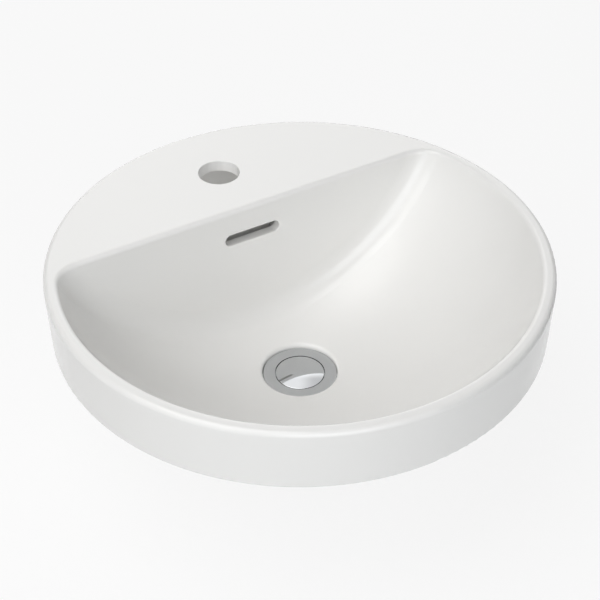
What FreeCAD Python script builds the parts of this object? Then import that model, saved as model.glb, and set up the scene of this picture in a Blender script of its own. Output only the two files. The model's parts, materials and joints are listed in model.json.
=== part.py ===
import FreeCAD
import Part
import math
import os
import Sketcher
from FreeCAD import Placement, Rotation, Vector

# Inset wash basin with a push-open slotted waste, in millimetres.
# Frame: +Z up, z = 0 on the bench, origin at the centre of the round skirt, +Y towards the tap ledge.

SIZES = {
    # Ceramic casting, outside
    "basin_diameter": 400.0,
    "skirt_draft": 1.6,
    "rim_height": 53.4,
    "rim_round": 4.0,
    "skirt_wall": 10.4,
    "foot_round": 1.5,
    "deck_thickness": 10.0,
    # Bowl
    "bowl_mouth_margin": 10.0,
    "bowl_depth": 121.5,
    "bowl_wall": 11.0,
    "back_wall_offset": 78.8,
    "back_wall_lean": 7.2,
    "valley_radius": 22.0,
    "lip_round": 4.0,
    # Tap hole in the ledge
    "tap_hole_diameter": 35.0,
    "tap_hole_offset": 135.3,
    "tap_hole_round": 0.6,
    # Overflow slot and the cast duct behind it
    "overflow_width": 50.6,
    "overflow_height": 10.2,
    "overflow_drop": 27.6,
    "overflow_round": 1.0,
    "slot_wall": 8.0,
    "slot_chamber_drop": 10.0,
    "duct_gap": 12.0,
    "duct_side_room": 3.0,
    "duct_wall": 8.0,
    "duct_round": 6.0,
    # Waste hole and its boss under the bowl
    "waste_hole_diameter": 46.0,
    "boss_diameter": 92.0,
    "boss_thickness": 34.0,
    "boss_round": 5.0,
    "flange_sink": 1.0,
    "recess_room": 0.4,
    "recess_round": 3.0,
    # Waste body
    "flange_diameter": 62.0,
    "flange_thickness": 2.6,
    "flange_dish": 0.3,
    "flange_round": 0.6,
    "flange_seal_thickness": 1.4,
    "flange_seal_width": 5.5,
    "cup_depth": 6.0,
    "cup_wall": 1.5,
    "cup_floor": 2.0,
    "tail_diameter": 41.9,
    "tail_bore": 36.6,
    "tail_length": 72.0,
    "tail_free_length": 14.5,
    "relief_width": 1.5,
    "relief_depth": 0.9,
    "window_width": 24.0,
    "window_height": 10.0,
    # Clamping stack under the boss
    "thread_clearance": 0.05,
    "washer_clearance": 0.15,
    "lower_seal_diameter": 64.0,
    "lower_seal_top_diameter": 54.0,
    "lower_seal_thickness": 6.0,
    "slip_washer_diameter": 60.0,
    "slip_washer_thickness": 1.5,
    "nut_across_flats": 52.0,
    "nut_thickness": 9.0,
    "nut_bevel_height": 2.3,
    "nut_bevel_width": 5.2,
    # Carrier of the push mechanism
    "ledge_width": 1.0,
    "ledge_drop": 40.0,
    "carrier_height": 8.0,
    "carrier_ring_wall": 2.2,
    "carrier_hub_diameter": 22.0,
    "carrier_spoke_width": 3.5,
    "carrier_spokes": 3,
    "snap_ring_thickness": 1.4,
    "snap_ring_width": 2.4,
    "snap_ring_mouth": 12.0,
    "groove_depth": 0.8,
    "groove_room": 0.05,
    # Cartridge
    "sleeve_diameter": 17.0,
    "sleeve_wall": 2.0,
    "sleeve_top_drop": 17.0,
    "sleeve_length": 39.0,
    "collar_diameter": 21.4,
    "collar_thickness": 2.0,
    "locknut_across_flats": 24.0,
    "locknut_thickness": 4.0,
    "bush_flange": 2.0,
    "bush_neck": 5.0,
    "end_cap_flange": 2.5,
    "end_cap_neck": 2.0,
    "rod_diameter": 8.0,
    "running_clearance": 0.05,
    "head_diameter": 12.4,
    "head_thickness": 5.7,
    "plug_travel": 9.0,
    "stop_clearance": 0.3,
    "rotor_diameter": 12.0,
    "rotor_thickness": 3.0,
    "rotor_stem_diameter": 5.0,
    "rotor_stem_length": 5.0,
    "rotor_pilot_length": 3.0,
    "rotor_notch_width": 2.4,
    "rotor_notch_depth": 1.4,
    "rotor_notches": 4,
    "thrust_washer_thickness": 0.5,
    "thrust_washer_diameter": 11.6,
    "spring_wire": 1.0,
    "spring_mean_diameter": 9.2,
    "spring_turns": 6,
    "spring_end_gap": 0.05,
    # Plug
    "cap_diameter": 40.6,
    "cap_gap": 0.7,
    "cap_edge_thickness": 3.0,
    "cap_dome": 2.2,
    "cap_round": 0.4,
    "seal_edge_room": 1.0,
    "hub_boss_diameter": 22.0,
    "hub_flange_diameter": 32.0,
    "hub_flange_thickness": 1.5,
    "hub_neck_diameter": 16.0,
    "hub_neck_length": 3.5,
    "rod_cover": 1.0,
}

# Worked-out places, as expressions on the sheet
BOWL_MOUTH = "(Dims.basin_diameter / 2 - Dims.bowl_mouth_margin)"
BOWL_RADIUS = f"({BOWL_MOUTH}^2 + Dims.bowl_depth^2) / (2 * Dims.bowl_depth)"
BALL_LEVEL = f"(Dims.rim_height + {BOWL_RADIUS} - Dims.bowl_depth)"
WALL_SLOPE = "(Dims.back_wall_lean / Dims.bowl_depth)"
WALL_FROM_BALL = (
    f"((Dims.back_wall_offset + ({BOWL_RADIUS} - Dims.bowl_depth) * {WALL_SLOPE})"
    f" / sqrt(1 + {WALL_SLOPE}^2))"
)
WALL_AT_SLOT = f"(Dims.back_wall_offset - Dims.overflow_drop * {WALL_SLOPE})"
SEAT_RADIUS = "(Dims.basin_diameter / 2 - Dims.skirt_draft)"
SKIRT_INNER = f"({SEAT_RADIUS} - Dims.skirt_wall)"
FLANGE_TOP = "(Dims.rim_height - Dims.bowl_depth - Dims.flange_sink)"
FLANGE_UNDER = f"({FLANGE_TOP} - Dims.flange_thickness)"
RECESS_FLOOR = f"({FLANGE_UNDER} - Dims.flange_seal_thickness)"
BOSS_UNDER = f"({RECESS_FLOOR} - Dims.boss_thickness)"
SEAL_UNDER = f"({BOSS_UNDER} - Dims.lower_seal_thickness)"
SLIP_UNDER = f"({SEAL_UNDER} - Dims.slip_washer_thickness)"
NUT_UNDER = f"({SLIP_UNDER} - Dims.nut_thickness)"
TAIL_END = f"({FLANGE_TOP} - Dims.tail_length)"
DUCT_MIDDLE = "(Dims.rim_height - Dims.bowl_depth - Dims.bowl_wall - Dims.duct_gap / 2)"
CUP_RADIUS = "(Dims.cap_diameter / 2 + Dims.cap_gap)"
CUP_OUTER = f"({CUP_RADIUS} + Dims.cup_wall)"
CARRIER_UNDER = f"({FLANGE_TOP} - Dims.ledge_drop)"
CARRIER_TOP = f"({CARRIER_UNDER} + Dims.carrier_height)"
SLEEVE_TOP = f"({FLANGE_TOP} - Dims.sleeve_top_drop)"
SLEEVE_UNDER = f"({SLEEVE_TOP} - Dims.sleeve_length)"
SLEEVE_INNER = "(Dims.sleeve_diameter / 2 - Dims.sleeve_wall)"
SEAT_LEVEL = f"({FLANGE_TOP} - Dims.cup_depth)"
SEAL_THICKNESS = "(Dims.cup_depth - Dims.cap_edge_thickness)"
HEAD_TOP = f"({SLEEVE_TOP} - Dims.bush_neck - Dims.plug_travel - Dims.stop_clearance)"
HEAD_UNDER = f"({HEAD_TOP} - Dims.head_thickness)"
ROTOR_UNDER = f"({HEAD_UNDER} - Dims.rotor_thickness)"
WASHER_UNDER = f"({ROTOR_UNDER} - Dims.thrust_washer_thickness)"
SPRING_FLOOR = f"({SLEEVE_UNDER} + Dims.end_cap_neck)"

# Tolerance for telling edges apart, and points to test on each edge
NEAR = 0.02
EDGE_POINTS = 5

# Points on the spring's path for measuring the gap between its turns
COIL_POINTS = 120

doc = FreeCAD.newDocument("inset_basin")


def make_sheet():
    """Put every driving size in the sheet under its own alias."""
    dims = doc.addObject("Spreadsheet::Sheet", "Dims")
    for row, (alias, value) in enumerate(SIZES.items(), start=1):
        dims.set(f"A{row}", alias)
        dims.set(f"B{row}", str(value))
        dims.setAlias(f"B{row}", alias)
    doc.recompute()
    return dims


sheet = make_sheet()


def number(expression):
    """Value of an expression on the sheet."""
    return float(sheet.evalExpression(str(expression)))


def bind(obj, **expressions):
    """Bind properties of an object to expressions on the sheet."""
    for prop, expression in expressions.items():
        obj.setExpression(prop, str(expression))
    return obj


def at(obj, z, x="0", y="0"):
    """Bind an object's place to expressions on the sheet."""
    obj.setExpression("Placement.Base.x", str(x))
    obj.setExpression("Placement.Base.y", str(y))
    obj.setExpression("Placement.Base.z", str(z))
    return obj


def cylinder(name, radius, height, z, x="0", y="0"):
    rod = doc.addObject("Part::Cylinder", name)
    return at(bind(rod, Radius=radius, Height=height), z, x, y)


def box(name, length, width, height):
    block = doc.addObject("Part::Box", name)
    return bind(block, Length=length, Width=width, Height=height)


def hexagon(name, across_flats, height, z):
    prism = doc.addObject("Part::Prism", name)
    prism.Polygon = 6
    return at(bind(prism, Circumradius=f"{across_flats} / sqrt(3)", Height=height), z)


def fuse(name, pieces, refine=True):
    union = doc.addObject("Part::MultiFuse", name)
    union.Shapes = pieces
    union.Refine = refine
    return union


def cut(name, base, tool):
    rest = doc.addObject("Part::Cut", name)
    rest.Base = base
    rest.Tool = tool
    rest.Refine = False
    return rest


def common(name, base, tool):
    overlap = doc.addObject("Part::Common", name)
    overlap.Base = base
    overlap.Tool = tool
    overlap.Refine = False
    return overlap


def round_edges(name, base, radius, wanted):
    """Fillet every edge of the base that the test accepts."""
    doc.recompute()
    chosen = [i for i, edge in enumerate(base.Shape.Edges, start=1) if wanted(edge)]
    if not chosen:
        raise RuntimeError(f"{name}: no edge to round")
    fillet = doc.addObject("Part::Fillet", name)
    fillet.Base = base
    fillet.Edges = [(i, number(radius), number(radius)) for i in chosen]
    doc.recompute()
    return fillet


def all_along(edge, test):
    """Tell whether a test holds at points all along an edge."""
    return not edge.Degenerated and all(test(p) for p in edge.discretize(EDGE_POINTS))


def on_circle(edge, radius, z, x=0.0, y=0.0):
    """Tell whether all of an edge lies on a level circle."""
    return all_along(
        edge, lambda p: abs(p.z - z) < NEAR and abs(math.hypot(p.x - x, p.y - y) - radius) < NEAR
    )


def origin_plane(body, role):
    return next(f for f in body.Origin.OriginFeatures if f.Role == role)


def draw_outline(sketch, outline):
    """Closed outline of straight lines, each corner held by two bound distances."""
    corners = [(number(r), number(z)) for r, z in outline]
    count = len(corners)
    for i in range(count):
        start = Vector(*corners[i], 0)
        end = Vector(*corners[(i + 1) % count], 0)
        sketch.addGeometry(Part.LineSegment(start, end), False)
    for i in range(count):
        sketch.addConstraint(Sketcher.Constraint("Coincident", i, 2, (i + 1) % count, 1))
    for i, expressions in enumerate(outline):
        for kind, axis, expression in (
            ("DistanceX", -2, expressions[0]),
            ("DistanceY", -1, expressions[1]),
        ):
            if expression == "0":
                sketch.addConstraint(Sketcher.Constraint("PointOnObject", i, 1, axis))
                continue
            held = sketch.addConstraint(
                Sketcher.Constraint(kind, -1, 1, i, 1, number(expression))
            )
            sketch.setExpression(f"Constraints[{held}]", expression)


def turned(name, z, outline):
    """Turned piece: an outline of (radius, height) expressions revolved about the vertical axis."""
    body = doc.addObject("PartDesign::Body", name)
    sketch = body.newObject("Sketcher::SketchObject", f"{name}_outline")
    sketch.AttachmentSupport = (origin_plane(body, "XZ_Plane"), [""])
    sketch.MapMode = "FlatFace"
    draw_outline(sketch, outline)
    turn = body.newObject("PartDesign::Revolution", f"{name}_turn")
    turn.Profile = sketch
    turn.ReferenceAxis = (sketch, ["V_Axis"])
    turn.Angle = 360
    at(body, z)
    doc.recompute()
    return body


def ring(name, z, inner, outer, height):
    return turned(name, z, [(inner, "0"), (outer, "0"), (outer, height), (inner, height)])


def round_body_edges(body, name, radius, wanted):
    """Fillet feature on the body's own edges that the test accepts, in the body's frame."""
    tip = body.Tip
    chosen = [f"Edge{i}" for i, edge in enumerate(tip.Shape.Edges, start=1) if wanted(edge)]
    fillet = body.newObject("PartDesign::Fillet", name)
    fillet.Base = (tip, chosen)
    fillet.setExpression("Radius", radius)
    doc.recompute()


def pocket_through(body, name, role, x, y, width, height):
    """Rectangular cut right through a body, centred on x, low edge at y of its sketch plane."""
    sketch = body.newObject("Sketcher::SketchObject", f"{name}_sketch")
    sketch.AttachmentSupport = (origin_plane(body, role), [""])
    sketch.MapMode = "FlatFace"
    left, right = f"{x} - {width} / 2", f"{x} + {width} / 2"
    draw_outline(
        sketch,
        [(left, y), (right, y), (right, f"{y} + {height}"), (left, f"{y} + {height}")],
    )
    pocket = body.newObject("PartDesign::Pocket", name)
    pocket.Profile = sketch
    pocket.Type = "ThroughAll"
    pocket.SideType = "Symmetric"
    before = body.Shape.Volume
    doc.recompute()
    if body.Shape.Volume >= before:
        raise RuntimeError(f"{name} cut nothing")


# Bowl form: a ball cut by the leaning back wall, with a rounded valley between them.
# Its frame: the ball's centre at the origin, turned about the x axis until the wall is upright.


def wall_turn():
    return math.atan(number(WALL_SLOPE))


def from_bowl_frame(y, z):
    turn = wall_turn()
    return Vector(
        0,
        y * math.cos(turn) + z * math.sin(turn),
        number(BALL_LEVEL) + z * math.cos(turn) - y * math.sin(turn),
    )


def to_bowl_frame(point):
    turn = wall_turn()
    z = point.z - number(BALL_LEVEL)
    return point.y * math.cos(turn) - z * math.sin(turn), z * math.cos(turn) + point.y * math.sin(turn)


def on_back_wall(point, offset=0.0):
    """Tell whether a point lies on the back wall, or on its copy at an offset."""
    return abs(to_bowl_frame(point)[0] - number(WALL_FROM_BALL) - offset) < NEAR


def bowl_form(name, offset):
    """Solid of the bowl's inside, grown all round by an offset."""
    radius = f"({BOWL_RADIUS} + {offset})"
    ball = doc.addObject("Part::Sphere", f"{name}_ball")
    bind(ball, Radius=radius, Angle2=f"asin(({WALL_FROM_BALL} + {offset}) / {radius})")
    middle = from_bowl_frame(0, 0)
    up = from_bowl_frame(0, 1) - middle
    back = from_bowl_frame(1, 0) - middle
    ball.Placement = Placement(middle, Rotation(up, Vector(1, 0, 0), back, "ZXY"))
    grow = number(offset)
    return round_edges(
        name,
        ball,
        f"Dims.valley_radius + {offset}",
        lambda e: all_along(e, lambda p: on_back_wall(p, grow)),
    )


def middle_section():
    """Section through the waste in the bowl's frame: ball radius, valley arc, angle where they meet."""
    ball = number(BOWL_RADIUS)
    valley = number("Dims.valley_radius")
    valley_y = number(WALL_FROM_BALL) - valley
    drop = math.sqrt((ball - valley) ** 2 - valley_y**2)
    return ball, (valley_y, -drop, valley), math.atan2(valley_y, drop)


def section_offset(point):
    """How far a point of the middle section lies outside the bowl."""
    ball, (valley_y, valley_z, valley), meet = middle_section()
    y, z = to_bowl_frame(point)
    if math.atan2(y, -z) < meet:
        return math.hypot(y, z) - ball
    if z < valley_z:
        return math.hypot(y - valley_y, z - valley_z) - valley
    return y - valley_y - valley


def duct_form(name, inner, outer, top, width):
    """Band between two offsets of the bowl's middle section, from a top level to the waste axis."""
    ball, valley_arc, meet = middle_section()
    upright = math.pi / 2
    plumb = wall_turn()

    def arc_point(arc, offset, angle):
        y, z, radius = arc
        out = radius + offset
        return from_bowl_frame(y + out * math.sin(angle), z - out * math.cos(angle))

    def path(offset):
        bend = [arc_point(valley_arc, offset, a) for a in (upright, (upright + meet) / 2, meet)]
        under = [arc_point((0, 0, ball), offset, a) for a in (meet, (meet + plumb) / 2, plumb)]
        start = Vector(0, bend[0].y + (top - bend[0].z) * math.tan(plumb), top)
        edges = [
            Part.makeLine(start, bend[0]),
            Part.Arc(*bend).toShape(),
            Part.Arc(*under).toShape(),
        ]
        return edges, start, under[-1]

    outside, outside_top, outside_end = path(outer)
    inside, inside_top, inside_end = path(inner)
    closing = [Part.makeLine(outside_end, inside_end), Part.makeLine(inside_top, outside_top)]
    wire = Part.Wire(Part.__sortEdges__(outside + inside + closing))
    band = doc.addObject("Part::Feature", name)
    band.Shape = Part.Face(wire).extrude(Vector(width, 0, 0))
    band.Placement = Placement(Vector(-width / 2, 0, 0), Rotation())
    return band


def overflow_slot():
    """Long round-ended hole from the bowl into the duct."""
    reach = "Dims.bowl_wall + Dims.duct_gap"
    start = f"{WALL_AT_SLOT} - Dims.duct_gap / 2"
    level = "Dims.rim_height - Dims.overflow_drop"
    half_run = "(Dims.overflow_width - Dims.overflow_height) / 2"
    middle = box("slot_middle", f"2 * {half_run}", reach, "Dims.overflow_height")
    at(middle, f"{level} - Dims.overflow_height / 2", f"-{half_run}", start)
    ends = []
    for side, sign in (("left", "-"), ("right", "")):
        end = cylinder(
            f"slot_{side}", "Dims.overflow_height / 2", reach, level, f"{sign}{half_run}", start
        )
        end.Placement.Rotation = Rotation(Vector(1, 0, 0), -90)
        ends.append(end)
    return fuse("overflow_slot", [middle] + ends)


def basin_casting():
    """The glazed ceramic: skirt, ledge, bowl, overflow duct and waste boss in one casting."""
    cone = doc.addObject("Part::Cone", "skirt_cone")
    bind(cone, Radius1=SEAT_RADIUS, Radius2="Dims.basin_diameter / 2", Height="Dims.rim_height")
    rim = number("Dims.rim_height")
    rim_radius = number("Dims.basin_diameter / 2")
    outside = round_edges(
        "rim_edge", cone, "Dims.rim_round", lambda e: on_circle(e, rim_radius, rim)
    )
    hollow = cylinder(
        "skirt_hollow",
        SKIRT_INNER,
        "2 * Dims.rim_height - Dims.deck_thickness",
        "-Dims.rim_height",
    )
    skirt = cut("skirt", outside, hollow)
    foot_radii = [number(SEAT_RADIUS), number(SKIRT_INNER)]
    skirt = round_edges(
        "foot_edge",
        skirt,
        "Dims.foot_round",
        lambda e: any(on_circle(e, r, 0) for r in foot_radii),
    )

    bowl_outside = bowl_form("bowl_outside", "Dims.bowl_wall")
    keep = cylinder(
        "bowl_limit",
        f"{SKIRT_INNER} + Dims.skirt_wall / 2",
        "Dims.rim_height - Dims.deck_thickness / 2 + Dims.bowl_depth + Dims.bowl_wall",
        "-Dims.bowl_depth - Dims.bowl_wall",
    )
    bowl_shell = common("bowl_shell", bowl_outside, keep)
    boss = cylinder(
        "waste_boss",
        "Dims.boss_diameter / 2",
        "Dims.boss_thickness + Dims.bowl_wall",
        BOSS_UNDER,
    )
    boss_under = number(BOSS_UNDER)
    boss_radius = number("Dims.boss_diameter / 2")
    boss = round_edges(
        "boss_edge", boss, "Dims.boss_round", lambda e: on_circle(e, boss_radius, boss_under)
    )
    channel_width = number("Dims.overflow_width + 2 * Dims.duct_side_room")
    duct_width = channel_width + 2 * number("Dims.duct_wall")
    duct_outer = number("Dims.bowl_wall + Dims.duct_gap + Dims.duct_wall")
    duct = duct_form(
        "duct_shell",
        number("Dims.bowl_wall / 2"),
        duct_outer,
        number("Dims.rim_height - Dims.deck_thickness / 2"),
        duct_width,
    )
    duct = round_edges(
        "duct_edge",
        duct,
        "Dims.duct_round",
        lambda e: all_along(
            e,
            lambda p: abs(abs(p.x) - duct_width / 2) < NEAR
            and abs(section_offset(p) - duct_outer) < NEAR,
        ),
    )
    slot_top = "Dims.rim_height - Dims.overflow_drop + Dims.overflow_height / 2"
    channel_top = f"{slot_top} + Dims.duct_side_room"
    channel = duct_form(
        "duct_channel",
        number("Dims.bowl_wall"),
        number("Dims.bowl_wall + Dims.duct_gap"),
        number(channel_top),
        channel_width,
    )
    chamber = box(
        "slot_chamber",
        "Dims.overflow_width + 2 * Dims.duct_side_room",
        "Dims.bowl_wall - Dims.slot_wall + Dims.duct_gap / 2",
        "Dims.overflow_height + Dims.duct_side_room + Dims.slot_chamber_drop",
    )
    at(
        chamber,
        f"{slot_top} - Dims.overflow_height - Dims.slot_chamber_drop",
        "-(Dims.overflow_width / 2 + Dims.duct_side_room)",
        f"{WALL_AT_SLOT} + Dims.slot_wall",
    )
    solid = fuse("casting_solid", [skirt, bowl_shell, boss, duct], refine=False)

    recess_radius = "Dims.flange_diameter / 2 + Dims.recess_room"
    waste_hole = cylinder(
        "waste_hole",
        "Dims.waste_hole_diameter / 2",
        "2 * Dims.boss_thickness",
        f"{BOSS_UNDER} - Dims.boss_thickness / 2",
    )
    flange_recess = cylinder("flange_recess", recess_radius, "Dims.bowl_depth / 2", RECESS_FLOOR)
    tap_hole = cylinder(
        "tap_hole",
        "Dims.tap_hole_diameter / 2",
        "4 * Dims.deck_thickness",
        "Dims.rim_height - 2 * Dims.deck_thickness",
        "0",
        "Dims.tap_hole_offset",
    )
    bowl_inside = bowl_form("bowl_inside", "0")
    cuts = fuse(
        "casting_cuts",
        [bowl_inside, channel, chamber, overflow_slot(), waste_hole, flange_recess, tap_hole],
        refine=False,
    )
    raw = cut("casting_raw", solid, cuts)
    doc.recompute()

    tap_y = number("Dims.tap_hole_offset")
    tap_radius = number("Dims.tap_hole_diameter / 2")
    slot_half_width = number("Dims.overflow_width / 2")
    slot_low = rim - number("Dims.overflow_drop + Dims.overflow_height / 2")
    slot_high = rim - number("Dims.overflow_drop - Dims.overflow_height / 2")
    recess = number(recess_radius)

    def on_lip(edge):
        inside = rim_radius - number("Dims.rim_round") - NEAR
        return all_along(
            edge, lambda p: abs(p.z - rim) < NEAR and math.hypot(p.x, p.y) < inside
        ) and not on_circle(edge, tap_radius, rim, 0, tap_y)

    def on_recess(edge):
        floor = number(RECESS_FLOOR)
        return all_along(
            edge, lambda p: abs(math.hypot(p.x, p.y) - recess) < NEAR and p.z > floor + NEAR
        ) and edge.BoundBox.ZLength < NEAR

    def on_slot(edge):
        return all_along(
            edge,
            lambda p: on_back_wall(p)
            and abs(p.x) < slot_half_width + NEAR
            and slot_low - NEAR < p.z < slot_high + NEAR,
        )

    lip = round_edges("lip_edge", raw, "Dims.lip_round", on_lip)
    hole = round_edges(
        "tap_hole_edge",
        lip,
        "Dims.tap_hole_round",
        lambda e: on_circle(e, tap_radius, rim, 0, tap_y),
    )
    slot = round_edges("overflow_edge", hole, "Dims.overflow_round", on_slot)
    return round_edges("basin_body", slot, "Dims.recess_round", on_recess)


# Waste and its clamping stack


def waste_body():
    """Chromed flange, cup for the plug and slotted threaded tail in one casting."""
    top = "Dims.tail_length"
    tail = "Dims.tail_diameter / 2"
    bore = "Dims.tail_bore / 2"
    lower_bore = f"{bore} - Dims.ledge_width"
    ledge = f"{top} - Dims.ledge_drop"
    groove_low = f"{ledge} + Dims.carrier_height - Dims.groove_room"
    groove_high = f"{ledge} + Dims.carrier_height + Dims.snap_ring_thickness + Dims.groove_room"
    relief_low = "Dims.tail_free_length"
    relief_high = f"{relief_low} + Dims.relief_width"
    seat = f"{top} - Dims.cup_depth"
    body = turned(
        "waste_body",
        TAIL_END,
        [
            (lower_bore, "0"),
            (tail, "0"),
            (tail, relief_low),
            (f"{tail} - Dims.relief_depth", relief_low),
            (f"{tail} - Dims.relief_depth", relief_high),
            (tail, relief_high),
            (tail, f"{seat} - Dims.cup_floor"),
            (CUP_OUTER, f"{seat} - Dims.cup_floor"),
            (CUP_OUTER, f"{top} - Dims.flange_thickness"),
            ("Dims.flange_diameter / 2", f"{top} - Dims.flange_thickness"),
            ("Dims.flange_diameter / 2", f"{top} + Dims.flange_dish"),
            (CUP_RADIUS, top),
            (CUP_RADIUS, seat),
            (bore, seat),
            (bore, groove_high),
            (f"{bore} + Dims.groove_depth", groove_high),
            (f"{bore} + Dims.groove_depth", groove_low),
            (bore, groove_low),
            (bore, ledge),
            (lower_bore, ledge),
        ],
    )
    height = number(f"{top} + Dims.flange_dish")
    edge_radius = number("Dims.flange_diameter / 2")
    round_body_edges(
        body, "flange_edge", "Dims.flange_round", lambda e: on_circle(e, edge_radius, height)
    )
    window_low = f"({DUCT_MIDDLE} - {TAIL_END}) - Dims.window_height / 2"
    pocket_through(
        body,
        "overflow_windows",
        "XZ_Plane",
        "0",
        window_low,
        "Dims.window_width",
        "Dims.window_height",
    )
    return body


def clamping_stack():
    thread = "(Dims.tail_diameter / 2 + Dims.thread_clearance)"
    loose = "(Dims.tail_diameter / 2 + Dims.washer_clearance)"
    seal_outer = "Dims.lower_seal_diameter / 2"
    seal_inner = f"{CUP_OUTER} + Dims.washer_clearance"
    flange_seal = ring(
        "flange_seal",
        RECESS_FLOOR,
        seal_inner,
        f"{seal_inner} + Dims.flange_seal_width",
        "Dims.flange_seal_thickness",
    )
    lower_seal = turned(
        "lower_seal",
        SEAL_UNDER,
        [
            (loose, "0"),
            (seal_outer, "0"),
            (seal_outer, "Dims.lower_seal_thickness / 2"),
            ("Dims.lower_seal_top_diameter / 2", "Dims.lower_seal_thickness"),
            (loose, "Dims.lower_seal_thickness"),
        ],
    )
    slip_washer = ring(
        "slip_washer",
        SLIP_UNDER,
        loose,
        "Dims.slip_washer_diameter / 2",
        "Dims.slip_washer_thickness",
    )
    nut_hexagon = hexagon("nut_hexagon", "Dims.nut_across_flats", "Dims.nut_thickness", NUT_UNDER)
    nut_face = "Dims.nut_across_flats / 2"
    nut_reach = f"{nut_face} + Dims.nut_bevel_width"
    nut_cone = turned(
        "nut_cone",
        NUT_UNDER,
        [
            ("0", "0"),
            (nut_face, "0"),
            (nut_reach, "Dims.nut_bevel_height"),
            (nut_reach, "Dims.nut_thickness - Dims.nut_bevel_height"),
            (nut_face, "Dims.nut_thickness"),
            ("0", "Dims.nut_thickness"),
        ],
    )
    nut_blank = common("nut_blank", nut_hexagon, nut_cone)
    nut_bore = cylinder("nut_bore", thread, "Dims.nut_thickness", NUT_UNDER)
    return [flange_seal, lower_seal, slip_washer, cut("backnut", nut_blank, nut_bore)]


# Push mechanism


def mechanism_carrier():
    """Ring on the tail's ledge, joined by spokes to the hub that holds the cartridge."""
    outer = "(Dims.tail_bore / 2 - Dims.thread_clearance)"
    hub = "Dims.carrier_hub_diameter / 2"
    height = "Dims.carrier_height"
    rim = cut(
        "carrier_ring",
        cylinder("carrier_ring_outer", outer, height, CARRIER_UNDER),
        cylinder("carrier_ring_inner", f"{outer} - Dims.carrier_ring_wall", height, CARRIER_UNDER),
    )
    middle = cylinder("carrier_hub", hub, height, CARRIER_UNDER)
    spokes = []
    count = int(number("Dims.carrier_spokes"))
    shift = Vector(0, -number("Dims.carrier_spoke_width / 2"), number(CARRIER_UNDER))
    for i in range(count):
        spoke = box(
            f"carrier_spoke{i}",
            f"{outer} - Dims.carrier_ring_wall / 2",
            "Dims.carrier_spoke_width",
            height,
        )
        turn = Rotation(Vector(0, 0, 1), 360 * i / count)
        spoke.Placement = Placement(turn.multVec(shift), turn)
        spokes.append(spoke)
    solid = fuse("carrier_solid", [rim, middle] + spokes)
    bore = cylinder(
        "carrier_bore",
        "Dims.sleeve_diameter / 2 + Dims.thread_clearance",
        height,
        CARRIER_UNDER,
    )
    return cut("mechanism_carrier", solid, bore)


def carrier_snap_ring():
    """Open spring ring in the tail's groove, on top of the carrier."""
    outer = "(Dims.tail_bore / 2 + Dims.groove_depth - Dims.groove_room)"
    inner = f"{outer} - Dims.snap_ring_width"
    height = "Dims.snap_ring_thickness"
    whole = cut(
        "snap_ring_whole",
        cylinder("snap_ring_outer", outer, height, CARRIER_TOP),
        cylinder("snap_ring_inner", inner, height, CARRIER_TOP),
    )
    mouth = box("snap_ring_opening", "Dims.snap_ring_mouth", "Dims.tail_diameter", height)
    at(mouth, CARRIER_TOP, "-Dims.snap_ring_mouth / 2")
    return cut("carrier_snap_ring", whole, mouth)


def cartridge_housing():
    outer = "Dims.sleeve_diameter / 2"
    neck = f"({SLEEVE_INNER} - Dims.thread_clearance)"
    collar_low = f"({CARRIER_TOP} - {SLEEVE_UNDER})"
    collar_high = f"{collar_low} + Dims.collar_thickness"
    sleeve = turned(
        "guide_sleeve",
        SLEEVE_UNDER,
        [
            (SLEEVE_INNER, "0"),
            (outer, "0"),
            (outer, collar_low),
            ("Dims.collar_diameter / 2", collar_low),
            ("Dims.collar_diameter / 2", collar_high),
            (outer, collar_high),
            (outer, "Dims.sleeve_length"),
            (SLEEVE_INNER, "Dims.sleeve_length"),
        ],
    )
    rod_hole = "Dims.rod_diameter / 2 + Dims.running_clearance"
    bush = turned(
        "guide_bush",
        f"{SLEEVE_TOP} - Dims.bush_neck",
        [
            (rod_hole, "0"),
            (neck, "0"),
            (neck, "Dims.bush_neck"),
            (outer, "Dims.bush_neck"),
            (outer, "Dims.bush_neck + Dims.bush_flange"),
            (rod_hole, "Dims.bush_neck + Dims.bush_flange"),
        ],
    )
    cap = turned(
        "end_cap",
        f"{SLEEVE_UNDER} - Dims.end_cap_flange",
        [
            ("0", "0"),
            (outer, "0"),
            (outer, "Dims.end_cap_flange"),
            (neck, "Dims.end_cap_flange"),
            (neck, "Dims.end_cap_flange + Dims.end_cap_neck"),
            ("0", "Dims.end_cap_flange + Dims.end_cap_neck"),
        ],
    )
    nut_low = f"{CARRIER_UNDER} - Dims.locknut_thickness"
    nut_height = "Dims.locknut_thickness"
    blank = hexagon("locknut_blank", "Dims.locknut_across_flats", nut_height, nut_low)
    bore = cylinder("locknut_bore", f"{outer} + Dims.thread_clearance", nut_height, nut_low)
    return [sleeve, bush, cap, cut("sleeve_locknut", blank, bore)]


def plunger():
    """Rod with a head: the head stops under the bush when the plug is open."""
    head_top = "Dims.head_thickness"
    stem_hole = "Dims.rotor_stem_diameter / 2 + Dims.running_clearance"
    stem_room = "Dims.rotor_stem_length + Dims.stop_clearance"
    rod_top = f"({FLANGE_TOP} - Dims.cap_edge_thickness - Dims.rod_cover) - {HEAD_UNDER}"
    return turned(
        "plunger",
        HEAD_UNDER,
        [
            (stem_hole, "0"),
            ("Dims.head_diameter / 2", "0"),
            ("Dims.head_diameter / 2", head_top),
            ("Dims.rod_diameter / 2", head_top),
            ("Dims.rod_diameter / 2", rod_top),
            ("0", rod_top),
            ("0", stem_room),
            (stem_hole, stem_room),
        ],
    )


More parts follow.
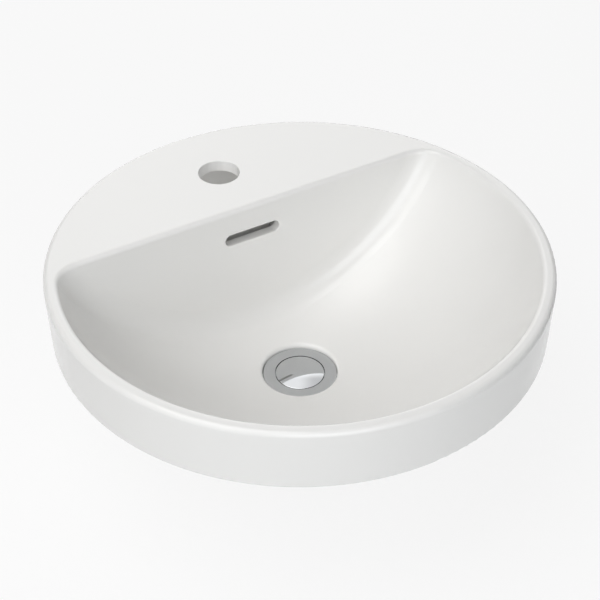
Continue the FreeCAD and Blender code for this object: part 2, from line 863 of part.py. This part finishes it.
def index_rotor():
    """Notched latch disc that turns on the plunger's end, with a pilot for the spring."""
    stem = "Dims.rotor_stem_diameter / 2"
    disc_low = "Dims.rotor_pilot_length"
    disc_high = f"{disc_low} + Dims.rotor_thickness"
    body = turned(
        "index_rotor",
        f"{ROTOR_UNDER} - Dims.rotor_pilot_length",
        [
            ("0", "0"),
            (stem, "0"),
            (stem, disc_low),
            ("Dims.rotor_diameter / 2", disc_low),
            ("Dims.rotor_diameter / 2", disc_high),
            (stem, disc_high),
            (stem, f"{disc_high} + Dims.rotor_stem_length"),
            ("0", f"{disc_high} + Dims.rotor_stem_length"),
        ],
    )
    sketch = body.newObject("Sketcher::SketchObject", "rotor_notch_sketch")
    sketch.AttachmentSupport = (origin_plane(body, "XY_Plane"), [""])
    sketch.MapMode = "FlatFace"
    low = "Dims.rotor_diameter / 2 - Dims.rotor_notch_depth"
    high = "Dims.rotor_diameter / 2 + Dims.rotor_notch_depth"
    half = "Dims.rotor_notch_width / 2"
    draw_outline(sketch, [(low, f"-{half}"), (high, f"-{half}"), (high, half), (low, half)])
    notch = body.newObject("PartDesign::Pocket", "rotor_notch")
    notch.Profile = sketch
    notch.Type = "ThroughAll"
    notch.SideType = "Symmetric"
    doc.recompute()
    pattern = body.newObject("PartDesign::PolarPattern", "rotor_notches")
    pattern.Originals = [notch]
    pattern.Axis = (sketch, ["N_Axis"])
    pattern.Angle = 360
    pattern.Occurrences = int(number("Dims.rotor_notches"))
    body.Tip = pattern
    doc.recompute()
    return body


def return_spring():
    """Coil between the thrust washer and the end cap, swept along a helix."""
    low = f"{SPRING_FLOOR} + Dims.spring_wire / 2 + Dims.spring_end_gap"
    high = f"{WASHER_UNDER} - Dims.spring_wire / 2 - Dims.spring_end_gap"
    helix = doc.addObject("Part::Helix", "spring_path")
    bind(
        helix,
        Radius="Dims.spring_mean_diameter / 2",
        Height=f"({high}) - ({low})",
        Pitch=f"(({high}) - ({low})) / Dims.spring_turns",
    )
    at(helix, low)
    wire = doc.addObject("Part::Circle", "spring_wire_section")
    bind(wire, Radius="Dims.spring_wire / 2")
    wire.Placement = Placement(
        Vector(number("Dims.spring_mean_diameter / 2"), 0, number(low)),
        Rotation(Vector(1, 0, 0), 90),
    )
    doc.recompute()
    coil = doc.addObject("Part::Sweep", "return_spring")
    coil.Sections = [wire]
    coil.Spine = (helix, [f"Edge{i}" for i in range(1, len(helix.Shape.Edges) + 1)])
    coil.Solid = True
    coil.Frenet = True
    doc.recompute()
    print(f"return_spring: least gap between turns {spring_gap(helix):.2f} mm")
    return coil


def spring_gap(helix):
    """Least gap of the coil to itself, measured on points half a turn or more apart."""
    points = [p for edge in helix.Shape.Edges for p in edge.discretize(COIL_POINTS)]
    per_turn = len(points) / number("Dims.spring_turns")
    least = min(
        (p - q).Length
        for i, p in enumerate(points)
        for q in points[int(i + per_turn / 2):]
    )
    return least - number("Dims.spring_wire")


# Plug


def plug_cap():
    """Low dome whose edge is flush with the flange when the plug is shut."""
    blank = cylinder(
        "cap_blank",
        "Dims.cap_diameter / 2",
        "Dims.cap_edge_thickness + Dims.cap_dome",
        f"{FLANGE_TOP} - Dims.cap_edge_thickness",
    )
    ball = doc.addObject("Part::Sphere", "cap_ball")
    dome_radius = "((Dims.cap_diameter / 2)^2 + Dims.cap_dome^2) / (2 * Dims.cap_dome)"
    at(bind(ball, Radius=dome_radius), f"{FLANGE_TOP} + Dims.cap_dome - {dome_radius}")
    domed = common("cap_domed", blank, ball)
    radius, top = number("Dims.cap_diameter / 2"), number(FLANGE_TOP)
    return round_edges("plug_cap", domed, "Dims.cap_round", lambda e: on_circle(e, radius, top))


def plug_underside():
    """Seal and hub under the cap."""
    boss = "Dims.hub_boss_diameter / 2"
    seal = ring(
        "plug_seal",
        SEAT_LEVEL,
        f"{boss} + Dims.thread_clearance",
        f"{CUP_RADIUS} - Dims.seal_edge_room",
        SEAL_THICKNESS,
    )
    rod_hole = "Dims.rod_diameter / 2 + Dims.thread_clearance"
    flange_low = "Dims.hub_neck_length"
    flange_high = f"{flange_low} + Dims.hub_flange_thickness"
    hub_top = f"{flange_high} + {SEAL_THICKNESS}"
    hole_top = f"{hub_top} - Dims.rod_cover"
    hub = turned(
        "plug_hub",
        f"{SEAT_LEVEL} - Dims.hub_flange_thickness - Dims.hub_neck_length",
        [
            (rod_hole, "0"),
            ("Dims.hub_neck_diameter / 2", "0"),
            ("Dims.hub_neck_diameter / 2", flange_low),
            ("Dims.hub_flange_diameter / 2", flange_low),
            ("Dims.hub_flange_diameter / 2", flange_high),
            (boss, flange_high),
            (boss, hub_top),
            ("0", hub_top),
            ("0", hole_top),
            (rod_hole, hole_top),
        ],
    )
    return [seal, hub]


def thrust_washer():
    return ring(
        "thrust_washer",
        WASHER_UNDER,
        "Dims.rotor_stem_diameter / 2 + Dims.washer_clearance",
        "Dims.thrust_washer_diameter / 2",
        "Dims.thrust_washer_thickness",
    )


def write_parts(pieces):
    """Check every object, then write one file per piece."""
    doc.recompute()
    for obj in doc.Objects:
        if "Invalid" in obj.State or "Error" in obj.State:
            raise RuntimeError(f"{obj.Name} is {obj.State}")
    os.makedirs("parts", exist_ok=True)
    for piece in pieces:
        shape = piece.Shape
        if shape.isNull() or not shape.isValid() or len(shape.Solids) != 1:
            raise RuntimeError(f"{piece.Label} is not one valid solid")
        shape.exportStep(f"parts/{piece.Label}.step")
        print(f"{piece.Label}: {shape.Volume:.0f} mm3")


write_parts(
    [basin_casting(), waste_body()]
    + clamping_stack()
    + [mechanism_carrier(), carrier_snap_ring()]
    + cartridge_housing()
    + [plunger(), index_rotor(), thrust_washer(), return_spring(), plug_cap()]
    + plug_underside()
)
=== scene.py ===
import json
import math

import bpy
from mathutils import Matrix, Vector


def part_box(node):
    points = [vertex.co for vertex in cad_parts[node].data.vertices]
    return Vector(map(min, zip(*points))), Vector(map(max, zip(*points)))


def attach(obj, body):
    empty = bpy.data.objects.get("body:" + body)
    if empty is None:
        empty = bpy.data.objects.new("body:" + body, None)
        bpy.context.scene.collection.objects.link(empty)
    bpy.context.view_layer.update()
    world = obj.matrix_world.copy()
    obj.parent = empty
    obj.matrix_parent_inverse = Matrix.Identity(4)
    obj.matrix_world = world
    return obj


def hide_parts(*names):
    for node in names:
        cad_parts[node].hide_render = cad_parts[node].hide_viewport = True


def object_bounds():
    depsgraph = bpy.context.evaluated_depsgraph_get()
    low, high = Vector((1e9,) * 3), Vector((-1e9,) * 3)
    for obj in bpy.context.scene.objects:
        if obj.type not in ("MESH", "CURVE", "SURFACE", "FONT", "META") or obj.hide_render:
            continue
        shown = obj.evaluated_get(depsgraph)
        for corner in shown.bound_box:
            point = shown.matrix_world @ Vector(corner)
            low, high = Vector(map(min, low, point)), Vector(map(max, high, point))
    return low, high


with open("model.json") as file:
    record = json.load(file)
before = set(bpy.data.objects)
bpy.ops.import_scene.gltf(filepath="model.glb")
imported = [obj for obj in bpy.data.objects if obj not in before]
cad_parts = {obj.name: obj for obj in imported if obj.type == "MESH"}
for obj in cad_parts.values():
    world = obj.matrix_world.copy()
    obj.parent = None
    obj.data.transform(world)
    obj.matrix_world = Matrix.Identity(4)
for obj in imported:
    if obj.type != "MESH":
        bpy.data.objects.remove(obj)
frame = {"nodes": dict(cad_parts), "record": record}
cad_low, cad_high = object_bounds()
nodes = frame["nodes"]

# Camera, from the fit of the photograph's 600 x 600 frame
PHOTO_SIDE = 600.0
PHOTO_FOCAL = 1443.6
CAMERA_PLACE = Vector((-0.4564, -0.7769, 0.7380))
CAMERA_TURN = math.radians(30.435)
CAMERA_PITCH = math.radians(38.984)
SENSOR_WIDTH = 36.0

# Materials: the band in which noise mostly lies, the foot's clay, the rings on turned metal
NOISE_LOW = 0.3
NOISE_HIGH = 0.7
FOOT_RAGGED = 0.0012
CLAY_ROUGHNESS = 0.85
RING_SCALE = 0.05

# Thread of the waste's tail, G 1 1/4 with its relief groove, in metres and radians
THREAD_PITCH = 0.002309
THREAD_DEPTH = 0.001479
THREAD_ROWS = 64
SLOPE_STEP = 0.00002
TAIL_RADIUS = 0.02095
TAIL_FREE_LENGTH = 0.0145
RELIEF_EDGE = 0.02035
ON_TAIL = 0.00002
SAME_ANGLE = 0.001

# Studio
WHITE = (1.0, 1.0, 1.0)
FLOOR_LEVEL = cad_low.z
FLOOR_HALF = 6.0
FLOOR_PAINT = (0.86, 0.86, 0.86)
FLOOR_ROUGHNESS = 0.9
FLOOR_WHITE = 1.0
BACKGROUND_WHITE = 0.947
WORLD_STRENGTH = 0.0
# Share of the floor's own glow near the object; it rises to the backdrop's white far away
FLOOR_GLOW = 0.85
FLOOR_NEAR = 1.0
FLOOR_FAR = 4.0
LAMP_DISTANCE = 2.2
LAMP_WIDTH = 2.6
# Middle of a round lamp, where it starts to fade and its edge, in the lamp's own coordinates
LAMP_MIDDLE = (0.5, 0.5, 0.0)
LAMP_FADE = 0.2
LAMP_EDGE = 0.5


# Node helpers


def opaque(colour):
    """A colour with full alpha, as colour sockets take it."""
    return (*colour, 1.0)


def feed(tree, socket, value):
    """Link a socket to another one, or set it to a constant."""
    if isinstance(value, bpy.types.NodeSocket):
        tree.links.new(value, socket)
    else:
        socket.default_value = value


def new_material(name):
    """A fresh material, its node tree and its main shader."""
    material = bpy.data.materials.new(name)
    material.use_nodes = True
    tree = material.node_tree
    return material, tree, tree.nodes["Principled BSDF"]


def add_node(tree, kind, settings=None, **inputs):
    """A node with its settings and inputs; an underscore stands for a space in an input's name."""
    node = tree.nodes.new(kind)
    for key, value in (settings or {}).items():
        setattr(node, key, value)
    for key, value in inputs.items():
        feed(tree, node.inputs[key.replace("_", " ")], value)
    return node


def object_coords(tree, stretch=(1.0, 1.0, 1.0)):
    """Place on the object in metres, stretched along its axes."""
    coords = add_node(tree, "ShaderNodeTexCoord")
    mapping = add_node(tree, "ShaderNodeMapping", Vector=coords.outputs["Object"], Scale=stretch)
    return mapping.outputs["Vector"]


def noise(tree, vector, scale, detail, roughness=0.5):
    """Noise from 0 to 1, mostly in the middle of that range."""
    node = add_node(
        tree,
        "ShaderNodeTexNoise",
        Vector=vector,
        Scale=scale,
        Detail=detail,
        Roughness=roughness,
    )
    return node.outputs["Fac"]


def spread(tree, value, low, high, from_low=NOISE_LOW, from_high=NOISE_HIGH):
    """A value mapped to a wanted range, by default from the usual band of noise."""
    node = add_node(
        tree,
        "ShaderNodeMapRange",
        Value=value,
        From_Min=from_low,
        From_Max=from_high,
        To_Min=low,
        To_Max=high,
    )
    return node.outputs["Result"]


def blend_colours(tree, factor, first, second):
    """A colour between two, each of them a constant or a socket."""
    node = add_node(tree, "ShaderNodeMix", {"data_type": "RGBA"}, Factor=factor)
    for socket, colour in ((node.inputs["A"], first), (node.inputs["B"], second)):
        is_socket = isinstance(colour, bpy.types.NodeSocket)
        feed(tree, socket, colour if is_socket else opaque(colour))
    return node.outputs["Result"]


def maths(tree, operation, first, second):
    """Two values joined by an operation."""
    node = add_node(tree, "ShaderNodeMath", {"operation": operation})
    feed(tree, node.inputs[0], first)
    feed(tree, node.inputs[1], second)
    return node.outputs["Value"]


def bump(tree, height, distance, strength, below=None):
    """A bumped normal, on top of another one where it is given."""
    node = add_node(tree, "ShaderNodeBump", Height=height, Distance=distance, Strength=strength)
    if below is not None:
        tree.links.new(below, node.inputs["Normal"])
    return node.outputs["Normal"]


# Materials


def bare_foot(tree, place):
    """1 on the skirt's foot, which is wiped clean of glaze, with a ragged line, and 0 elsewhere."""
    height = add_node(tree, "ShaderNodeSeparateXYZ", Vector=place).outputs["Z"]
    ragged = maths(tree, "MULTIPLY", noise(tree, place, scale=90.0, detail=3.0), FOOT_RAGGED)
    edge = maths(tree, "SUBTRACT", height, ragged)
    facing = add_node(tree, "ShaderNodeNewGeometry")
    normal = add_node(tree, "ShaderNodeSeparateXYZ", Vector=facing.outputs["True Normal"])
    down = spread(tree, normal.outputs["Z"], low=1.0, high=0.0, from_low=-0.75, from_high=-0.55)
    under = spread(tree, edge, low=1.0, high=0.0, from_low=-0.0002, from_high=0.0002)
    above = spread(tree, height, low=0.0, high=1.0, from_low=-0.004, from_high=-0.003)
    return maths(tree, "MULTIPLY", maths(tree, "MULTIPLY", down, under), above)


def glaze():
    """White glaze: faint pooling in tone, soft gloss under a clear coat, slight ripple; clay foot."""
    material, tree, shader = new_material("white_glaze")
    place = object_coords(tree)
    bare = bare_foot(tree, place)
    pooled = noise(tree, place, scale=5.0, detail=1.0)
    fine = noise(tree, place, scale=240.0, detail=2.0)
    glazed = blend_colours(tree, pooled, first=(0.873, 0.864, 0.843), second=(0.885, 0.878, 0.859))
    clay = blend_colours(tree, fine, first=(0.56, 0.50, 0.41), second=(0.66, 0.60, 0.51))
    tree.links.new(blend_colours(tree, bare, glazed, clay), shader.inputs["Base Color"])
    sheen = spread(tree, pooled, low=0.20, high=0.23)
    rough = add_node(
        tree,
        "ShaderNodeMix",
        {"data_type": "FLOAT"},
        Factor=bare,
        A=sheen,
        B=CLAY_ROUGHNESS,
    )
    tree.links.new(rough.outputs["Result"], shader.inputs["Roughness"])
    shader.inputs["IOR"].default_value = 1.38
    shader.inputs["Coat Weight"].default_value = 0.4
    shader.inputs["Coat Roughness"].default_value = 0.06
    waves = noise(tree, place, scale=16.0, detail=0.0)
    ripple = bump(tree, waves, distance=0.0001, strength=0.5)
    grain = noise(tree, place, scale=260.0, detail=1.0)
    peel = bump(tree, grain, distance=0.000008, strength=0.5, below=ripple)
    tree.links.new(peel, shader.inputs["Normal"])
    return material


def chrome():
    """Plated brass: near-mirror with a faint polishing haze and hairlines."""
    material, tree, shader = new_material("chrome_plate")
    haze = noise(tree, object_coords(tree), scale=60.0, detail=4.0)
    tint = blend_colours(tree, haze, first=(0.527, 0.537, 0.549), second=(0.562, 0.571, 0.582))
    tree.links.new(tint, shader.inputs["Base Color"])
    shader.inputs["Metallic"].default_value = 1.0
    tree.links.new(spread(tree, haze, low=0.045, high=0.085), shader.inputs["Roughness"])
    along_lines = object_coords(tree, stretch=(60.0, 900.0, 900.0))
    lines = noise(tree, along_lines, scale=2.0, detail=2.0)
    tree.links.new(bump(tree, lines, distance=0.000002, strength=0.4), shader.inputs["Normal"])
    return material


def rubber():
    """Black moulded rubber with a dusty bloom."""
    material, tree, shader = new_material("black_rubber")
    place = object_coords(tree)
    bloom = noise(tree, place, scale=120.0, detail=5.0, roughness=0.6)
    dusty = spread(tree, bloom, low=0.0, high=1.0)
    tint = blend_colours(tree, dusty, first=(0.018, 0.018, 0.019), second=(0.052, 0.051, 0.050))
    tree.links.new(tint, shader.inputs["Base Color"])
    tree.links.new(spread(tree, bloom, low=0.5, high=0.75), shader.inputs["Roughness"])
    grain = noise(tree, place, scale=1800.0, detail=2.0)
    tree.links.new(bump(tree, grain, distance=0.00003, strength=0.4), shader.inputs["Normal"])
    return material


def moulded(name, dark, light, smooth, rough):
    """Injection-moulded plastic: slow flow marks and a fine spark-eroded texture."""
    material, tree, shader = new_material(name)
    along_flow = object_coords(tree, stretch=(1.0, 1.0, 0.35))
    flow = noise(tree, along_flow, scale=160.0, detail=4.0)
    tint = blend_colours(tree, spread(tree, flow, low=0.0, high=1.0), dark, light)
    tree.links.new(tint, shader.inputs["Base Color"])
    tree.links.new(spread(tree, flow, low=smooth, high=rough), shader.inputs["Roughness"])
    grain = noise(tree, object_coords(tree), scale=2600.0, detail=2.0)
    tree.links.new(bump(tree, grain, distance=0.00002, strength=0.4), shader.inputs["Normal"])
    return material


def turned_metal(name, dark, light, smooth, rough, feed_pitch):
    """Machined metal: tool rings around the axis and a little staining."""
    material, tree, shader = new_material(name)
    place = object_coords(tree)
    stain = noise(tree, place, scale=110.0, detail=5.0, roughness=0.6)
    tint = blend_colours(tree, spread(tree, stain, low=0.0, high=1.0), dark, light)
    tree.links.new(tint, shader.inputs["Base Color"])
    shader.inputs["Metallic"].default_value = 1.0
    tree.links.new(spread(tree, stain, low=smooth, high=rough), shader.inputs["Roughness"])
    rings = add_node(
        tree,
        "ShaderNodeTexWave",
        {"wave_type": "BANDS", "bands_direction": "Z"},
        Vector=place,
        Scale=RING_SCALE / feed_pitch,
        Distortion=1.5,
        Detail=2.0,
    )
    turned = bump(tree, rings.outputs["Fac"], distance=0.000015, strength=0.5)
    tree.links.new(turned, shader.inputs["Normal"])
    return material


finishes = {
    "glaze": glaze(),
    "chrome": chrome(),
    "rubber": rubber(),
    "nylon": moulded(
        "white_nylon",
        dark=(0.66, 0.64, 0.58),
        light=(0.74, 0.72, 0.67),
        smooth=0.38,
        rough=0.52,
    ),
    "brass": turned_metal(
        "machined_brass",
        dark=(0.52, 0.36, 0.14),
        light=(0.66, 0.48, 0.21),
        smooth=0.22,
        rough=0.36,
        feed_pitch=0.0004,
    ),
    "cartridge": moulded(
        "grey_acetal",
        dark=(0.030, 0.032, 0.035),
        light=(0.050, 0.053, 0.056),
        smooth=0.30,
        rough=0.45,
    ),
    "rotor": moulded(
        "white_acetal",
        dark=(0.58, 0.58, 0.55),
        light=(0.66, 0.66, 0.63),
        smooth=0.28,
        rough=0.42,
    ),
    "steel": turned_metal(
        "bright_steel",
        dark=(0.48, 0.48, 0.49),
        light=(0.58, 0.58, 0.58),
        smooth=0.18,
        rough=0.30,
        feed_pitch=0.0003,
    ),
}
for subpart in frame["record"]["subparts"]:
    mesh = nodes[subpart["node"]].data
    mesh.materials.clear()
    mesh.materials.append(finishes[subpart["material_slot"]])


# Threaded tail of the waste


def thread_radius(angle, height):
    """Radius of the right-hand thread at an angle and a height over the tail's end.

    It is chamfered at the end and runs out to the edge of the relief groove.
    """
    turn = height / THREAD_PITCH - angle / math.tau
    groove = 0.5 - 0.5 * math.cos(math.tau * turn)
    to_relief = TAIL_FREE_LENGTH - height
    thread = max(TAIL_RADIUS - THREAD_DEPTH * groove, RELIEF_EDGE - to_relief)
    end_chamfer = TAIL_RADIUS - THREAD_DEPTH + height
    return min(thread, end_chamfer, RELIEF_EDGE + to_relief)


def thread_normal(angle, height):
    """Outward normal of the thread, from its slopes around and along the tail."""
    turn = SLOPE_STEP / thread_radius(angle, height)
    ahead = thread_radius(angle + turn, height)
    behind = thread_radius(angle - turn, height)
    above = thread_radius(angle, height + SLOPE_STEP)
    below = thread_radius(angle, height - SLOPE_STEP)
    around = (ahead - behind) / (2 * SLOPE_STEP)
    along = (above - below) / (2 * SLOPE_STEP)
    out = Vector((math.cos(angle), math.sin(angle), 0.0))
    side = Vector((-math.sin(angle), math.cos(angle), 0.0))
    return (out - side * around - Vector((0.0, 0.0, along))).normalized()


def tail_wall(source, tail_top):
    """Which vertices lie on the plain wall of the tail, and the angles of its corners, each once."""
    on_wall = []
    found = []
    for vertex in source.vertices:
        place = vertex.co
        beside = abs(math.hypot(place.x, place.y) - TAIL_RADIUS) < ON_TAIL
        on_wall.append(beside and place.z < tail_top + ON_TAIL)
        if on_wall[-1]:
            found.append(math.atan2(place.y, place.x))
    columns = []
    for angle in sorted(found):
        if not columns or angle - columns[-1] > SAME_ANGLE:
            columns.append(angle)
    if columns[0] + math.tau - columns[-1] < SAME_ANGLE:
        columns.pop()
    return on_wall, columns


def nearest_column(columns, place):
    """The column that stands at a corner's angle, across the seam too."""
    angle = math.atan2(place.y, place.x)
    gaps = [abs(math.remainder(angle - column, math.tau)) for column in columns]
    return gaps.index(min(gaps))


def without_wall(source, on_wall, columns, tail_end):
    """Points, faces and corner normals of the waste without the plain wall of its tail.

    The fourth value holds the corners at the wall's two ends, by row and column of the thread.
    """
    points, faces, normals = [], [], []
    kept = {}
    grid = {}
    for polygon in source.polygons:
        corners = list(polygon.vertices)
        heights = [source.vertices[corner].co.z for corner in corners]
        upright = max(heights) - min(heights) > ON_TAIL
        if upright and all(on_wall[corner] for corner in corners):
            continue
        for corner in corners:
            if corner in kept:
                continue
            kept[corner] = len(points)
            place = source.vertices[corner].co.copy()
            if on_wall[corner]:
                height = place.z - tail_end
                row = round(THREAD_ROWS * height / TAIL_FREE_LENGTH)
                grid[row, nearest_column(columns, place)] = len(points)
                place.xy *= thread_radius(0.0, height) / place.xy.length
            points.append(place)
        faces.append([kept[corner] for corner in corners])
        normals.extend(source.corner_normals[loop].vector.copy() for loop in polygon.loop_indices)
    return points, faces, normals, grid


def add_thread(columns, tail_end, points, faces, normals, grid):
    """Add the thread between the wall's two ends to the points, faces and corner normals."""
    slopes = {}
    for row in range(THREAD_ROWS + 1):
        height = TAIL_FREE_LENGTH * row / THREAD_ROWS
        for column, angle in enumerate(columns):
            slopes[row, column] = thread_normal(angle, height)
            if (row, column) in grid:
                continue
            radius = thread_radius(angle, height)
            across, back = radius * math.cos(angle), radius * math.sin(angle)
            grid[row, column] = len(points)
            points.append(Vector((across, back, tail_end + height)))
    for row in range(THREAD_ROWS):
        for column in range(len(columns)):
            beside = (column + 1) % len(columns)
            quad = [(row, column), (row, beside), (row + 1, beside), (row + 1, column)]
            faces.append([grid[corner] for corner in quad])
            normals.extend(slopes[corner] for corner in quad)


def threaded_waste():
    """The waste with a cut thread in place of the plain wall of its tail."""
    source = nodes["waste_body"].data
    tail_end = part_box("waste_body")[0].z
    on_wall, columns = tail_wall(source, tail_end + TAIL_FREE_LENGTH)
    points, faces, normals, grid = without_wall(source, on_wall, columns, tail_end)
    add_thread(columns, tail_end, points, faces, normals, grid)
    mesh = bpy.data.meshes.new("waste_threaded")
    mesh.from_pydata(points, [], faces, shade_flat=False)
    mesh.normals_split_custom_set(normals)
    mesh.materials.append(finishes["chrome"])
    waste = bpy.data.objects.new("waste_threaded", mesh)
    bpy.context.scene.collection.objects.link(waste)
    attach(waste, "basin")
    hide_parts("waste_body")


threaded_waste()


# Studio: pale floor, backdrop, soft lamps, camera


def seen_directly(tree):
    """1 for rays from the camera, from mirrors and through glass, 0 for the light itself."""
    path = add_node(tree, "ShaderNodeLightPath")
    seen = maths(tree, "MAXIMUM", path.outputs["Is Camera Ray"], path.outputs["Is Glossy Ray"])
    return maths(tree, "MAXIMUM", seen, path.outputs["Is Transmission Ray"])


def make_floor():
    """A pale floor that takes the object's shadow and fades into the backdrop."""
    mesh = bpy.data.meshes.new("floor")
    corners = [
        (-FLOOR_HALF, -FLOOR_HALF, FLOOR_LEVEL),
        (FLOOR_HALF, -FLOOR_HALF, FLOOR_LEVEL),
        (FLOOR_HALF, FLOOR_HALF, FLOOR_LEVEL),
        (-FLOOR_HALF, FLOOR_HALF, FLOOR_LEVEL),
    ]
    mesh.from_pydata(corners, [], [(0, 1, 2, 3)])
    floor = bpy.data.objects.new("floor", mesh)
    bpy.context.scene.collection.objects.link(floor)
    material, tree, shader = new_material("pale_floor")
    shader.inputs["Base Color"].default_value = opaque(FLOOR_PAINT)
    shader.inputs["Roughness"].default_value = FLOOR_ROUGHNESS
    shader.inputs["Specular IOR Level"].default_value = 0.0
    glow = add_node(tree, "ShaderNodeEmission", Color=opaque(WHITE), Strength=FLOOR_WHITE)
    away = add_node(tree, "ShaderNodeVectorMath", {"operation": "LENGTH"})
    tree.links.new(object_coords(tree), away.inputs[0])
    share = spread(
        tree,
        away.outputs["Value"],
        low=FLOOR_GLOW,
        high=BACKGROUND_WHITE,
        from_low=FLOOR_NEAR,
        from_high=FLOOR_FAR,
    )
    mix = add_node(tree, "ShaderNodeMixShader", Fac=maths(tree, "MULTIPLY", seen_directly(tree), share))
    tree.links.new(shader.outputs["BSDF"], mix.inputs[1])
    tree.links.new(glow.outputs["Emission"], mix.inputs[2])
    tree.links.new(mix.outputs["Shader"], tree.nodes["Material Output"].inputs["Surface"])
    mesh.materials.append(material)


def make_world():
    """A white backdrop that gives no light of its own."""
    world = bpy.data.worlds.new("studio")
    bpy.context.scene.world = world
    world.use_nodes = True
    tree = world.node_tree
    light = tree.nodes["Background"]
    light.inputs["Color"].default_value = opaque(WHITE)
    light.inputs["Strength"].default_value = WORLD_STRENGTH
    backdrop = add_node(tree, "ShaderNodeBackground", Color=opaque(WHITE), Strength=BACKGROUND_WHITE)
    mix = add_node(tree, "ShaderNodeMixShader", Fac=seen_directly(tree))
    tree.links.new(light.outputs["Background"], mix.inputs[1])
    tree.links.new(backdrop.outputs["Background"], mix.inputs[2])
    tree.links.new(mix.outputs["Shader"], tree.nodes["World Output"].inputs["Surface"])


def soften_edge(light):
    """Fade a round lamp from its middle to its edge."""
    light.use_nodes = True
    tree = light.node_tree
    place = add_node(tree, "ShaderNodeNewGeometry").outputs["Parametric"]
    out = add_node(tree, "ShaderNodeVectorMath", {"operation": "DISTANCE"})
    tree.links.new(place, out.inputs[0])
    out.inputs[1].default_value = LAMP_MIDDLE
    fade = add_node(
        tree,
        "ShaderNodeMapRange",
        {"interpolation_type": "SMOOTHSTEP"},
        Value=out.outputs["Value"],
        From_Min=LAMP_FADE,
        From_Max=LAMP_EDGE,
        To_Min=1.0,
        To_Max=0.0,
    )
    tree.links.new(fade.outputs["Result"], tree.nodes["Emission"].inputs["Strength"])


def make_lamp(name, azimuth, elevation, power, colour=WHITE):
    """A round soft box that faces the basin, its angles in degrees."""
    light = bpy.data.lights.new(name, "AREA")
    light.shape = "DISK"
    light.size = LAMP_WIDTH
    light.energy = power
    light.color = colour
    soften_edge(light)
    lamp = bpy.data.objects.new(name, light)
    turn, lift = math.radians(azimuth), math.radians(elevation)
    level = math.cos(lift)
    away = Vector((math.sin(turn) * level, -math.cos(turn) * level, math.sin(lift)))
    lamp.location = away * LAMP_DISTANCE
    lamp.rotation_mode = "QUATERNION"
    lamp.rotation_quaternion = away.to_track_quat("Z", "Y")
    lamp.visible_camera = False
    bpy.context.scene.collection.objects.link(lamp)


def make_camera():
    """The camera at the photograph's viewing angle."""
    data = bpy.data.cameras.new("camera")
    data.sensor_width = SENSOR_WIDTH
    data.lens = PHOTO_FOCAL / PHOTO_SIDE * SENSOR_WIDTH
    camera = bpy.data.objects.new("camera", data)
    level = math.cos(CAMERA_PITCH)
    across, ahead = math.sin(CAMERA_TURN) * level, math.cos(CAMERA_TURN) * level
    looking = Vector((across, ahead, -math.sin(CAMERA_PITCH)))
    camera.location = CAMERA_PLACE
    camera.rotation_mode = "QUATERNION"
    camera.rotation_quaternion = looking.to_track_quat("-Z", "Y")
    bpy.context.scene.collection.objects.link(camera)
    bpy.context.scene.camera = camera


make_floor()
make_world()
make_lamp("key_lamp", azimuth=-90.0, elevation=70.0, power=39.0)
make_lamp("left_lamp", azimuth=-75.0, elevation=42.0, power=24.0)
make_lamp("front_lamp", azimuth=-18.0, elevation=24.0, power=45.5, colour=(0.95, 0.975, 1.0))
make_lamp("back_lamp", azimuth=150.0, elevation=24.0, power=27.0)
make_lamp("top_lamp", azimuth=180.0, elevation=56.0, power=8.0)
make_camera()
bpy.context.scene.view_settings.view_transform = "Standard"
